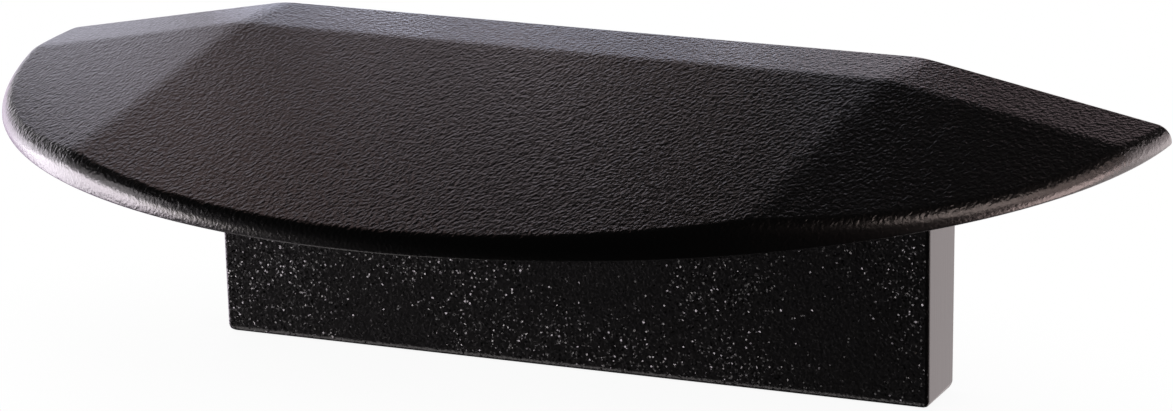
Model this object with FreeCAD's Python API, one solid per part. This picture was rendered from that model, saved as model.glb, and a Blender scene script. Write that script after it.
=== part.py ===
import FreeCAD, Part
import math
import os

from FreeCAD import Vector

# A push-in end cap for a half-round profile, moulded in one piece: a thin half-disc face
# plate with a faceted, roof-like outer side, and one flat tongue under it.
# X runs along the straight edge and Y points from the round side to the straight edge.
# Z = 0 is the inner face, which seats on the profile's end, and +Z points out of it.
# The straight edge lies over Y = 0, with its middle at the origin. Lengths are in mm.

# Face plate, seen from above
width = 28.0               # whole straight edge; the round side is a half circle on it
tip_radius = 0.4           # where the round side meets the straight edge
crown_width = 16.1         # flat stretch between the two side facets
ridge_setback = 2.7        # from the straight edge in to the ridge

# Face plate, heights above the inner face
ridge_height = 1.6         # the highest line, along the ridge
back_height = 1.5          # at the straight edge, between the side facets
tip_rim_height = 0.35      # at the two tips of the straight edge
front_rim_height = 0.43    # at the middle of the round side

# Face plate, rounding
crease_radius = 3.0        # soft bend where two facets meet
rim_radius = 0.16          # all round the upper edge

# Tongue
tongue_width = 17.9        # at the root
tongue_thickness = 1.9     # at the root
tongue_depth = 6.25        # below the inner face
tongue_setback = 0.4       # from the straight edge in to its rear side
tongue_draft = 0.6         # degrees on each of its four sides
tongue_corner_radius = 0.1
tongue_end_radius = 0.18   # round its lower edge
root_radius = 0.15         # in the inner corner at its root

radius = width / 2
overrun = 1.0              # how far a cutting shape runs past what it cuts


def rim_outline():
    """The half disc's outline, with its two tips rounded, as one face at Z = 0."""
    reach = radius - tip_radius
    tip_x = math.sqrt(reach ** 2 - tip_radius ** 2)
    scale = radius / reach
    meet = Vector(tip_x * scale, -tip_radius * scale, 0)
    turn = (math.pi / 2 + math.asin(-tip_radius / reach)) / 2
    bulge = Vector(tip_x + tip_radius * math.cos(turn), -tip_radius + tip_radius * math.sin(turn), 0)
    flip = FreeCAD.Matrix()
    flip.scale(-1, 1, 1)
    end = Vector(tip_x, 0, 0)
    round_side = Part.Arc(flip * meet, Vector(0, -radius, 0), meet)
    right_tip = Part.Arc(meet, bulge, end)
    straight_edge = Part.LineSegment(end, flip * end)
    left_tip = Part.Arc(flip * end, flip * bulge, flip * meet)
    sides = [round_side, right_tip, straight_edge, left_tip]
    return Part.Face(Part.Wire([side.toShape() for side in sides]))


def roof():
    """A long roof of one section, which runs down to both sides of the ridge.

    The section is flat over the crown and falls at each side. It is pushed forward down
    the main slope and backward down the narrow rear band, so that the creases stay in line.
    """
    side_slope = (back_height - tip_rim_height) / (radius - crown_width / 2)
    front_slope = (ridge_height - front_rim_height) / (radius - ridge_setback)
    rear_slope = (ridge_height - back_height) / ridge_setback
    half = radius + overrun
    eaves = ridge_height - side_slope * (half - crown_width / 2)
    floor = eaves - front_slope * half - overrun
    right = [Vector(crown_width / 2, -ridge_setback, ridge_height),
             Vector(half, -ridge_setback, eaves),
             Vector(half, -ridge_setback, floor)]
    left = [Vector(-point.x, point.y, point.z) for point in reversed(right)]
    section = Part.Face(Part.makePolygon(right + left + right[:1]))
    forward = half - ridge_setback
    backward = ridge_setback + overrun
    front = section.extrude(Vector(0, -forward, -front_slope * forward))
    rear = section.extrude(Vector(0, backward, -rear_slope * backward))
    return front.fuse(rear).removeSplitter()


def upward_faces(solid, edge):
    """For the two faces beside an edge, how many look mainly upward, or none under Z = 0."""
    middle = edge.valueAt((edge.FirstParameter + edge.LastParameter) / 2)
    count = 0
    for face in solid.ancestorsOfType(edge, Part.Face):
        u, v = face.Surface.parameter(middle)
        count += face.normalAt(u, v).z > math.sin(math.radians(45))
    return count


def face_plate():
    """The half disc cut to its roof, with soft creases and a rounded upper edge."""
    blank = rim_outline().extrude(Vector(0, 0, ridge_height + overrun))
    plate = blank.common(roof()).Solids[0]
    creases = [edge for edge in plate.Edges if upward_faces(plate, edge) == 2]
    plate = plate.makeFillet(crease_radius, creases)
    rims = [edge for edge in plate.Edges if upward_faces(plate, edge) == 1]
    return plate.makeFillet(rim_radius, rims)


def tongue_corners(height):
    """The tongue's four corners at one height, drawn in by the draft on its way down."""
    inset = -height * math.tan(math.radians(tongue_draft))
    side = tongue_width / 2 - inset
    rear = -tongue_setback - inset
    front = -tongue_setback - tongue_thickness + inset
    return [Vector(side, front, height), Vector(side, rear, height),
            Vector(-side, rear, height), Vector(-side, front, height)]


def flat_face(corners):
    """One plane face through the given corners."""
    return Part.Face(Part.makePolygon(corners + corners[:1]))


def tongue():
    """The drafted tongue, up to the inner face, with its upright and lower edges rounded."""
    upper = tongue_corners(0)
    lower = tongue_corners(-tongue_depth)
    faces = [flat_face(upper), flat_face(lower)]
    for i in range(4):
        faces.append(flat_face([upper[i - 1], upper[i], lower[i], lower[i - 1]]))
    bar = Part.makeSolid(Part.makeShell(faces))
    upright_edges = [edge for edge in bar.Edges if edge.BoundBox.ZLength > tongue_depth / 2]
    bar = bar.makeFillet(tongue_corner_radius, upright_edges)
    low_edges = [edge for edge in bar.Edges if edge.BoundBox.ZMax < -tongue_depth / 2]
    return bar.makeFillet(tongue_end_radius, low_edges)


def end_cap():
    """Plate and tongue in one piece, with a small radius in the corner where they meet."""
    cap = face_plate().fuse(tongue()).removeSplitter()
    root_half = tongue_width / 2 + root_radius / 2
    root = [edge for edge in cap.Edges
            if edge.BoundBox.ZLength < root_radius / 100
            and abs(edge.BoundBox.ZMax) < root_radius / 100
            and edge.BoundBox.XMax < root_half and edge.BoundBox.XMin > -root_half]
    return cap.makeFillet(root_radius, root)


os.makedirs("parts", exist_ok=True)
end_cap().exportStep("parts/end_cap.step")
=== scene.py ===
import math

import bmesh
import bpy
from mathutils import Matrix, Vector


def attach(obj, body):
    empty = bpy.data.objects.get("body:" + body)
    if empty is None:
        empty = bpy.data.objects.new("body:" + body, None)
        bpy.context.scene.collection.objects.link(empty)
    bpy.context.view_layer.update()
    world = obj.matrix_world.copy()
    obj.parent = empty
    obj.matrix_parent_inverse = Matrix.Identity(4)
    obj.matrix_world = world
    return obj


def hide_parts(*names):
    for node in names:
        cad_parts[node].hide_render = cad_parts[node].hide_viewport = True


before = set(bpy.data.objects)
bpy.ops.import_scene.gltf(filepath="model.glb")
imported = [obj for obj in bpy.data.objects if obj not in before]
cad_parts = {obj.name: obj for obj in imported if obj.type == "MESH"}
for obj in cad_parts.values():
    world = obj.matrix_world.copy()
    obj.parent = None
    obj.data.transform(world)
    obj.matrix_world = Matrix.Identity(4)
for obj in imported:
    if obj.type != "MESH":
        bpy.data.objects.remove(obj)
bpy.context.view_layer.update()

mm = 0.001                     # in metres


# A linear colour for a shader, from an sRGB hex value
def hexColour(text):
    parts = [int(text[i:i + 2], 16) / 255 for i in (1, 3, 5)]
    linear = [part / 12.92 if part <= 0.04045 else ((part + 0.055) / 1.055) ** 2.4 for part in parts]
    return (*linear, 1.0)


# One shader node with its settings. Each input is a constant or a socket, or a node for its first output.
def addNode(tree, kind, inputs=None, **settings):
    node = tree.nodes.new(kind)
    for name, value in settings.items():
        setattr(node, name, value)
    for name, value in (inputs or {}).items():
        if isinstance(value, bpy.types.Node):
            value = value.outputs[0]
        if isinstance(value, bpy.types.NodeSocket):
            tree.links.new(value, node.inputs[name])
        else:
            node.inputs[name].default_value = value
    return node


# Shape, in mm. Z = 0 is the inner face and the straight edge lies over Y = 0.
capShape = {
    "width": 28.0,             # whole straight edge; the round side is a half circle on it
    "tipRadius": 0.4,          # where the round side meets the straight edge
    "crownWidth": 16.1,        # flat stretch between the two side facets
    "ridgeSetback": 2.7,       # from the straight edge in to the ridge
    "ridgeHeight": 1.6,
    "backHeight": 1.5,
    "tipRimHeight": 0.35,
    "frontRimHeight": 0.43,
    "sideBend": 0.286,         # half the width of the soft bends beside the crown, seen from above
    "ridgeBend": 0.21,         # and of the one along the ridge
    "bendCuts": 5,             # lines that each bend is cut along
    "blankHeight": 1.0,        # of the flat disc, before its bends are made
    "rimRadius": 0.32,         # all round the upper edge
    "underRadius": 0.04,       # all round the lower edge
    "tongueWidth": 17.9,
    "tongueThickness": 1.9,
    "tongueDepth": 6.25,
    "tongueSetback": 0.4,      # from the straight edge in to its rear side
    "tongueDraft": 0.6,        # degrees on each of its four sides
    "tongueCornerRadius": 0.1,
    "tongueEndRadius": 0.18,
    "tongueRearRadius": 0.3,   # at its lower end, on the side of the straight edge
    "rootRadius": 0.15,
    "circleSegments": 180,
    "tipSegments": 10,
    "rimSegments": 8,
    "underSegments": 2,
    "roundingSegments": 5,
}

# How near things have to be where faces and edges are picked and cut
levelNormal = 0.99             # Z of a unit normal, from which a face counts as level
sameHeight = 0.01              # mm within which two heights count as one
cutMerge = 1e-5                # mm within which a cut goes through a point instead of past it
sharpAngle = 3.0               # degrees between two faces, from which their edge may be rounded
upperShare = 0.6               # share of the disc's height, past which faces and points are on its roof


# Points of an arc about a centre, from one angle to another in degrees, the last one left out
def arcPoints(centre, radius, start, end, steps):
    points = []
    for i in range(steps):
        turn = math.radians(start + (end - start) * i / steps)
        points.append(Vector((centre.x + radius * math.cos(turn), centre.y + radius * math.sin(turn), 0)))
    return points


# Moves flat faces outward by a radius, in rings that round their outer edge off
def roundFaces(bm, faces, radius, steps):
    turns = [math.pi / 2 * i / steps for i in range(steps + 1)]
    for low, high in zip(turns, turns[1:]):
        inward = radius * (math.cos(low) - math.cos(high))
        outward = radius * (math.sin(high) - math.sin(low))
        bmesh.ops.inset_region(bm, faces=faces, thickness=inward, depth=outward, use_boundary=True,
                               use_even_offset=True)


# The flat faces that look straight down
def facesBelow(bm):
    return [face for face in bm.faces if face.normal.z < -levelNormal]


# Cuts the given faces along a plane, in the same order on every run
def cutFaces(bm, faces, place, across):
    edges = dict.fromkeys(edge for face in faces for edge in face.edges)
    verts = dict.fromkeys(vert for face in faces for vert in face.verts)
    bmesh.ops.bisect_plane(bm, geom=[*faces, *edges, *verts], dist=cutMerge,
                           plane_co=place, plane_no=across)


# Everything of one kind in what an operator gives back
def ofKind(found, kind):
    return [item for item in found if isinstance(item, kind)]


# A flat half disc with rounded tips, both its edges rounded ring by ring
def halfDisc(bm, shape):
    radius = shape["width"] / 2
    tip = shape["tipRadius"]
    reach = math.sqrt((radius - tip) ** 2 - tip ** 2)
    dip = math.degrees(math.asin(tip / (radius - tip)))
    outline = arcPoints(Vector((0, 0, 0)), radius, dip - 180, -dip, shape["circleSegments"])
    outline += arcPoints(Vector((reach, -tip, 0)), tip, -dip, 90, shape["tipSegments"])
    outline += arcPoints(Vector((-reach, -tip, 0)), tip, 90, 180 + dip, shape["tipSegments"])
    base = bm.faces.new([bm.verts.new(point) for point in outline])
    bmesh.ops.translate(bm, vec=(0, 0, shape["underRadius"]), verts=bm.verts[:])
    raised = bmesh.ops.extrude_face_region(bm, geom=[base])["geom"]
    wall = shape["blankHeight"] - shape["rimRadius"] - shape["underRadius"]
    bmesh.ops.translate(bm, vec=(0, 0, wall), verts=ofKind(raised, bmesh.types.BMVert))
    bmesh.ops.recalc_face_normals(bm, faces=bm.faces[:])
    bottom = facesBelow(bm)
    roundFaces(bm, ofKind(raised, bmesh.types.BMFace), shape["rimRadius"], shape["rimSegments"])
    roundFaces(bm, bottom, shape["underRadius"], shape["underSegments"])


# Zero before a bend and equal to the distance after it, with a parabola from -half to half
def softRise(distance, half):
    if distance < -half:
        return 0
    if distance > half:
        return distance
    return (distance + half) ** 2 / (4 * half)


# Height of the faceted outer side above the inner face, with its soft bends
def roofHeight(place, shape):
    radius = shape["width"] / 2
    crown = shape["crownWidth"] / 2
    side = (shape["backHeight"] - shape["tipRimHeight"]) / (radius - crown)
    front = (shape["ridgeHeight"] - shape["frontRimHeight"]) / (radius - shape["ridgeSetback"])
    rear = (shape["ridgeHeight"] - shape["backHeight"]) / shape["ridgeSetback"]
    ahead = -place.y - shape["ridgeSetback"]
    fall = side * softRise(abs(place.x) - crown, shape["sideBend"])
    fall += (front + rear) * softRise(ahead, shape["ridgeBend"]) - rear * ahead
    return shape["ridgeHeight"] - fall


# Cuts the flat disc along its bends and sets every upper point to the roof's height
def foldRoof(bm, shape):
    crown = shape["crownWidth"] / 2
    roofStart = upperShare * shape["blankHeight"]
    bends = [(Vector((crown, 0, 0)), Vector((1, 0, 0)), shape["sideBend"]),
             (Vector((-crown, 0, 0)), Vector((1, 0, 0)), shape["sideBend"]),
             (Vector((0, -shape["ridgeSetback"], 0)), Vector((0, 1, 0)), shape["ridgeBend"])]
    for place, across, half in bends:
        for i in range(shape["bendCuts"]):
            step = half * (2 * i / (shape["bendCuts"] - 1) - 1)
            upper = [face for face in bm.faces if face.calc_center_median().z > roofStart]
            cutFaces(bm, upper, place + step * across, across)
    for vert in bm.verts:
        if vert.co.z > roofStart:
            vert.co.z += roofHeight(vert.co, shape) - shape["blankHeight"]


# Marks the tongue's root on the inner face and draws it down, narrowing with the draft
def addTongue(bm, shape):
    half = shape["tongueWidth"] / 2
    rear = -shape["tongueSetback"]
    front = rear - shape["tongueThickness"]
    for place, across in (((half, 0, 0), (1, 0, 0)), ((-half, 0, 0), (1, 0, 0)),
                          ((0, rear, 0), (0, 1, 0)), ((0, front, 0), (0, 1, 0))):
        cutFaces(bm, facesBelow(bm), place, across)
    root = []
    for face in facesBelow(bm):
        centre = face.calc_center_median()
        if abs(centre.x) < half and front < centre.y < rear:
            root.append(face)
    drawn = bmesh.ops.extrude_face_region(bm, geom=root)["geom"]
    bmesh.ops.delete(bm, geom=root, context="FACES_ONLY")
    lowered = ofKind(drawn, bmesh.types.BMVert)
    middle = Vector((0, (front + rear) / 2, 0))
    draw = shape["tongueDepth"] * math.tan(math.radians(shape["tongueDraft"]))
    narrow = Matrix.Diagonal((1 - draw / half, 1 - 2 * draw / shape["tongueThickness"], 1, 1))
    bmesh.ops.transform(bm, matrix=narrow, space=Matrix.Translation(-middle), verts=lowered)
    bmesh.ops.translate(bm, vec=(0, 0, -shape["tongueDepth"]), verts=lowered)
    bmesh.ops.recalc_face_normals(bm, faces=bm.faces[:])


# How round the tongue is along this edge, in mm, and nothing on the plate's own edges
def tongueRounding(edge, shape):
    low = min(vert.co.z for vert in edge.verts)
    high = max(vert.co.z for vert in edge.verts)
    if high < -shape["tongueDepth"] / 2:
        middle = -shape["tongueSetback"] - shape["tongueThickness"] / 2
        isRear = min(vert.co.y for vert in edge.verts) > middle
        return shape["tongueRearRadius"] if isRear else shape["tongueEndRadius"]
    if low < -shape["tongueDepth"] / 2:
        return shape["tongueCornerRadius"]
    onTongue = any(vert.co.z < -sameHeight for face in edge.link_faces for vert in face.verts)
    return shape["rootRadius"] if onTongue and high < sameHeight else 0


# The cap as one mesh, with the tongue's rounding as edge weights for one bevel
def buildCap(shape):
    bm = bmesh.new()
    halfDisc(bm, shape)
    foldRoof(bm, shape)
    addTongue(bm, shape)
    weights = bm.edges.layers.float.new("bevel_weight_edge")
    for edge in bm.edges:
        if edge.calc_face_angle(0) > math.radians(sharpAngle):
            edge[weights] = tongueRounding(edge, shape)
    bmesh.ops.scale(bm, vec=(mm, mm, mm), verts=bm.verts[:])
    for face in bm.faces:
        face.smooth = True
    mesh = bpy.data.meshes.new("end_cap_fine")
    bm.to_mesh(mesh)
    bm.free()
    cap = bpy.data.objects.new("end_cap_fine", mesh)
    bpy.context.scene.collection.objects.link(cap)
    rounding = cap.modifiers.new("tongue rounding", "BEVEL")
    rounding.limit_method = "WEIGHT"
    rounding.width = mm        # a weight is then a radius in mm
    rounding.segments = shape["roundingSegments"]
    rounding.use_clamp_overlap = False
    shading = cap.modifiers.new("flat facets", "WEIGHTED_NORMAL")
    shading.weight = 100       # the large faces alone set the normals, so that they look flat
    return cap


plasticLook = {
    "colour": "#0b0a0b",
    "ior": 1.5,                # usual for plastics
    "roughness": 0.3,          # satin; the grain spreads the light further
    "grainSize": 0.076,        # mm from one raised grain to the next, drawn as coarse as it needs to show
    "grainStretch": 2.0,       # how much longer a grain is from front to back
    "grainHeight": 0.03,       # mm
    "grainDetail": 0.4,        # finer roughness on each grain
    "grainBend": 0.5,          # how crooked the grains are
    "sideGrain": 0.3,          # how much of the height is left on upright faces
    "sideFacing": 0.5,         # Z of the normal up to which a face counts as upright
    "topFacing": 0.95,         # and from which it has the full grain
    "speckSize": 0.038,        # mm across one tiny spark-eroded facet
    "speckTilt": 0.15,         # how far most facets lean
    "sparkShare": 0.16,        # share of the facets that lean far enough to glint
    "sparkTilt": 1.0,          # how far these lean
    "plateShare": 0.04,        # how much of either lean is left on the face plate
    "driftSize": 3.5,          # mm from one drift of glinting facets to the next
    "driftDetail": 1.0,        # how ragged a drift is
    "driftEdge": (0.38, 0.62),     # noise values between which a drift thickens
    "driftDensity": (0.1, 1.5),    # times the spark share, between the drifts and inside them
    "endFacing": 0.75,         # X of the normal past which a face is a drawn end of the tongue
    "rootDepth": 0.16,         # mm under the inner face, where the tongue's root has ended
    "streakWidth": 0.07,       # mm, on the tongue's two drawn ends
    "streakHeight": 0.0025,    # mm
    "streakStretch": 0.03,     # how little a streak changes on its way down
    "streakDetail": 3.0,       # finer lines in each streak
}


# Moulded black ABS from a spark-eroded mould. To the eye it is a satin black with a fine raised
# grain, which glints in points where its facets catch a light. The tongue's two ends slid along
# the mould as it opened, so they are smoother, with faint upright streaks.
def makeMouldedAbs(look):
    material = bpy.data.materials.new("moulded black ABS")
    material.use_nodes = True
    tree = material.node_tree
    shader = tree.nodes["Principled BSDF"]
    shader.inputs["Base Color"].default_value = hexColour(look["colour"])
    shader.inputs["IOR"].default_value = look["ior"]
    shader.inputs["Roughness"].default_value = look["roughness"]
    place = addNode(tree, "ShaderNodeTexCoord").outputs["Object"]
    facing = addNode(tree, "ShaderNodeNewGeometry").outputs["Normal"]

    # The drawn ends face along X, below the tongue's root
    parts = addNode(tree, "ShaderNodeSeparateXYZ", {"Vector": facing}).outputs
    height = addNode(tree, "ShaderNodeSeparateXYZ", {"Vector": place}).outputs["Z"]
    sideways = addNode(tree, "ShaderNodeMath", {0: parts["X"]}, operation="ABSOLUTE")
    isEnd = addNode(tree, "ShaderNodeMath", {0: sideways, 1: look["endFacing"]}, operation="GREATER_THAN")
    isTongue = addNode(tree, "ShaderNodeMath", {0: height, 1: -look["rootDepth"] * mm},
                       operation="LESS_THAN")
    drawn = addNode(tree, "ShaderNodeMath", {0: isEnd, 1: isTongue}, operation="MULTIPLY")
    grained = addNode(tree, "ShaderNodeMath", {0: 1.0, 1: drawn}, operation="SUBTRACT")

    # Tiny facets, each flat and leaning its own way, as each cell's colour less mid grey tells
    cells = addNode(tree, "ShaderNodeTexVoronoi", {"Vector": place, "Scale": 1 / (look["speckSize"] * mm)})
    lean = addNode(tree, "ShaderNodeVectorMath", {0: cells.outputs["Color"], 1: (0.5, 0.5, 0.5)},
                   operation="SUBTRACT")

    # In loose drifts some of them lean far and glint
    thin, thick = (look["sparkShare"] * times for times in look["driftDensity"])
    drifts = addNode(tree, "ShaderNodeTexNoise", {"Vector": place, "Scale": 1 / (look["driftSize"] * mm),
                                                  "Detail": look["driftDetail"]})
    density = addNode(tree, "ShaderNodeMapRange", {"Value": drifts, "From Min": look["driftEdge"][0],
                                                   "From Max": look["driftEdge"][1], "To Min": thin,
                                                   "To Max": thick})
    chance = addNode(tree, "ShaderNodeTexWhiteNoise", {"Vector": cells.outputs["Position"]})
    glints = addNode(tree, "ShaderNodeMath", {0: chance, 1: density}, operation="LESS_THAN")
    tilt = addNode(tree, "ShaderNodeMath", {0: glints, 1: look["sparkTilt"] - look["speckTilt"],
                                            2: look["speckTilt"]}, operation="MULTIPLY_ADD")

    # They lean less on the face plate, and not at all on the drawn ends
    share = addNode(tree, "ShaderNodeMath", {0: isTongue, 1: 1 - look["plateShare"], 2: look["plateShare"]},
                    operation="MULTIPLY_ADD")
    tilt = addNode(tree, "ShaderNodeMath", {0: tilt, 1: share}, operation="MULTIPLY")
    tilt = addNode(tree, "ShaderNodeMath", {0: tilt, 1: grained}, operation="MULTIPLY")
    lean = addNode(tree, "ShaderNodeVectorMath", {0: lean, "Scale": tilt}, operation="SCALE")
    leaning = addNode(tree, "ShaderNodeVectorMath", {0: facing, 1: lean}, operation="ADD")
    facets = addNode(tree, "ShaderNodeVectorMath", {0: leaning}, operation="NORMALIZE")

    # The raised grain is deepest on the outer side, and shallow on the rim and the tongue
    depth = addNode(tree, "ShaderNodeMapRange", {"Value": parts["Z"], "From Min": look["sideFacing"],
                                                 "From Max": look["topFacing"],
                                                 "To Min": look["sideGrain"]})
    relief = addNode(tree, "ShaderNodeMath", {0: depth, 1: grained}, operation="MULTIPLY")
    stretched = addNode(tree, "ShaderNodeVectorMath", {0: place, 1: (1.0, 1 / look["grainStretch"], 1.0)},
                        operation="MULTIPLY")
    grain = addNode(tree, "ShaderNodeTexNoise", {"Vector": stretched, "Scale": 1 / (look["grainSize"] * mm),
                                                 "Detail": look["grainDetail"],
                                                 "Distortion": look["grainBend"]})
    grainBump = addNode(tree, "ShaderNodeBump", {"Height": grain, "Strength": relief,
                                                 "Distance": look["grainHeight"] * mm, "Normal": facets})

    # Streaks run up and down the drawn ends
    upright = addNode(tree, "ShaderNodeVectorMath", {0: place, 1: (0.0, 1.0, look["streakStretch"])},
                      operation="MULTIPLY")
    streaks = addNode(tree, "ShaderNodeTexNoise", {"Vector": upright,
                                                   "Scale": 1 / (look["streakWidth"] * mm),
                                                   "Detail": look["streakDetail"]})
    streakBump = addNode(tree, "ShaderNodeBump", {"Height": streaks, "Strength": drawn,
                                                  "Distance": look["streakHeight"] * mm,
                                                  "Normal": grainBump})
    tree.links.new(streakBump.outputs["Normal"], shader.inputs["Normal"])
    return material


cameraView = {
    "azimuth": 23.651,         # degrees from straight in front, toward +X
    "elevation": 15.658,       # degrees above the level
    "roll": -1.241,            # degrees about the line of sight
    "distance": 123.827,       # mm from the point it looks at
    "aim": (0.0, -5.0, 0.0),   # that point, in mm
    "lens": 167.77,            # focal length in mm
    "sensor": 36.0,            # mm across
    "shift": (0.0597, -0.0534),    # share of the picture's width
    "clip": (0.01, 10.0),      # m
}


# A long lens, turned, raised and rolled about the point it looks at
def placeCamera(view):
    azimuth = math.radians(view["azimuth"])
    elevation = math.radians(view["elevation"])
    roll = math.radians(view["roll"])
    back = Vector((math.sin(azimuth) * math.cos(elevation),
                   -math.cos(azimuth) * math.cos(elevation), math.sin(elevation)))
    level = Vector((math.cos(azimuth), math.sin(azimuth), 0))
    up = back.cross(level)
    right = math.cos(roll) * level + math.sin(roll) * up
    top = math.cos(roll) * up - math.sin(roll) * level
    data = bpy.data.cameras.new("camera")
    data.lens = view["lens"]
    data.sensor_width = view["sensor"]
    data.shift_x, data.shift_y = view["shift"]
    data.clip_start, data.clip_end = view["clip"]
    camera = bpy.data.objects.new("camera", data)
    place = (Vector(view["aim"]) + view["distance"] * back) * mm
    camera.matrix_world = Matrix.Translation(place) @ Matrix((right, top, back)).transposed().to_4x4()
    bpy.context.scene.collection.objects.link(camera)
    bpy.context.scene.camera = camera


studio = {
    # what the cards point at, in mm
    "aims": {
        "middle": (0, -6, 0),
        "ridge": (0, -4, 0),
        "left end": (-10, -3, 0),
        "right end": (10, -3, 0),
    },
    # aim, azimuth from +X, elevation, distance in mm, half the angle it fills, radiance in red, green, blue
    "cards": {
        "right end": ("right end", -12, 30, 14, 14, (3.4, 2.8, 2.6)),
        "low right": ("middle", 24, -8, 110, 12, (8.0, 6.2, 5.9)),
        "upper right": ("middle", 24, 20, 110, 12, (2.2, 1.7, 1.57)),
        "right": ("middle", 44, 0, 30, 11, (1.56, 1.34, 1.36)),
        "low wide right": ("middle", 55, -25, 40, 26, (1.54, 1.39, 1.39)),
        "close back": ("ridge", 85, 8, 16, 13, (0.634, 0.611, 0.693)),
        "back": ("middle", 96, 0, 110, 12, (0.527, 0.401, 0.427)),
        "left end, behind": ("left end", 100, 0, 14, 14, (1.41, 1.47, 1.82)),
        "close raised back": ("ridge", 105, 20, 16, 13, (0.314, 0.25, 0.25)),
        "back, left of the middle": ("middle", 110, 0, 30, 11, (1.01, 1.1, 1.4)),
        "close raised left back": ("ridge", 125, 20, 16, 13, (0.45, 0.386, 0.415)),
        "left end, left back": ("left end", 128, 0, 14, 14, (0.578, 0.611, 0.738)),
        "left back": ("middle", 144, 0, 110, 12, (1.56, 1.5, 1.56)),
        "close left back": ("ridge", 145, 8, 22, 13, (0.699, 0.648, 0.724)),
        "high left back": ("ridge", 145, 34, 22, 13, (0.373, 0.257, 0.245)),
        "low wide left back": ("middle", 150, -20, 110, 24, (1.03, 0.78, 1.13)),
        "low left": ("middle", 168, -14, 110, 12, (6.65, 6.32, 6.61)),
        "left end": ("left end", 184, 0, 14, 14, (3.12, 3.0, 3.12)),
        "low left, in front": ("middle", 192, -14, 110, 12, (9.47, 8.4, 9.25)),
        "left, in front": ("middle", 208, -8, 110, 10, (4.6, 4.23, 3.99)),
        "left end, low": ("left end", 210, -8, 40, 12, (4.8, 4.6, 4.8)),
        "below, in front": ("middle", 215, -56, 110, 18, (1.6, 1.5, 1.5)),
        "left end, in front": ("left end", 240, 14, 14, 14, (3.12, 2.9, 3.0)),
    },
}


# Round softboxes aimed at the part, each lit so that it glows evenly at its radiance
def placeCards(setup):
    for name, (aim, azimuth, elevation, distance, spread, glow) in setup["cards"].items():
        turn, rise = math.radians(azimuth), math.radians(elevation)
        outward = Vector((math.cos(rise) * math.cos(turn), math.cos(rise) * math.sin(turn), math.sin(rise)))
        data = bpy.data.lights.new(name, "AREA")
        data.shape = "DISK"
        data.size = 2 * distance * math.tan(math.radians(spread)) * mm
        brightest = max(glow)
        area = math.pi * data.size ** 2 / 4
        data.color = [part / brightest for part in glow]
        data.energy = brightest * math.pi * area
        card = bpy.data.objects.new(name, data)
        card.location = (Vector(setup["aims"][aim]) + distance * outward) * mm
        card.rotation_euler = outward.to_track_quat("Z", "Y").to_euler()
        card.visible_camera = False
        bpy.context.scene.collection.objects.link(card)


floorLook = {
    "size": 900,               # mm
    "drop": 6.27,              # mm under the inner face, a hair below the tongue's end
    "reach": 7,                # mm round the cap in which the floor darkens
    "shadow": 0.08,            # how dark it gets where the cap hides the whole sky
    "samples": 8,              # rays that look for the cap
}


# A white floor under the tongue that only the camera sees, with the cap's pale shadow
def makeFloor(look):
    bm = bmesh.new()
    bmesh.ops.create_grid(bm, x_segments=1, y_segments=1, size=look["size"] / 2 * mm)
    bmesh.ops.translate(bm, vec=(0, 0, -look["drop"] * mm), verts=bm.verts[:])
    mesh = bpy.data.meshes.new("floor")
    bm.to_mesh(mesh)
    bm.free()
    floor = bpy.data.objects.new("floor", mesh)
    bpy.context.scene.collection.objects.link(floor)
    material = bpy.data.materials.new("white paper")
    material.use_nodes = True
    tree = material.node_tree
    tree.nodes.clear()
    openness = addNode(tree, "ShaderNodeAmbientOcclusion", {"Distance": look["reach"] * mm},
                       samples=look["samples"])
    paleness = addNode(tree, "ShaderNodeMapRange", {"Value": openness.outputs["AO"],
                                                    "To Min": 1 - look["shadow"]})
    glow = addNode(tree, "ShaderNodeEmission", {"Strength": paleness})
    addNode(tree, "ShaderNodeOutputMaterial", {"Surface": glow})
    mesh.materials.append(material)
    # It lights nothing and shows in no reflection
    for ray in ("glossy", "diffuse", "transmission", "shadow"):
        setattr(floor, "visible_" + ray, False)


roomLook = {
    "background": "#ffffff",
    "fill": 0.02,              # strength of the even light from all sides
    "fillColour": "#ffffff",
}


# White to the camera and nearly dark to everything else
def makeRoom(look):
    world = bpy.data.worlds.new("room")
    world.use_nodes = True
    tree = world.node_tree
    tree.nodes.clear()
    seen = addNode(tree, "ShaderNodeBackground", {"Color": hexColour(look["background"])})
    fill = addNode(tree, "ShaderNodeBackground", {"Color": hexColour(look["fillColour"]),
                                                  "Strength": look["fill"]})
    ray = addNode(tree, "ShaderNodeLightPath")
    mix = addNode(tree, "ShaderNodeMixShader", {"Fac": ray.outputs["Is Camera Ray"], 1: fill, 2: seen})
    addNode(tree, "ShaderNodeOutputWorld", {"Surface": mix})
    bpy.context.scene.world = world


print("building the cap")
cap = buildCap(capShape)
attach(cap, "root")
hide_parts("end_cap")

print("making the material")
cap.data.materials.append(makeMouldedAbs(plasticLook))

print("placing the camera")
placeCamera(cameraView)

print("placing the lights")
placeCards(studio)

print("making the floor and the room")
makeFloor(floorLook)
makeRoom(roomLook)
bpy.context.scene.view_settings.view_transform = "Standard"
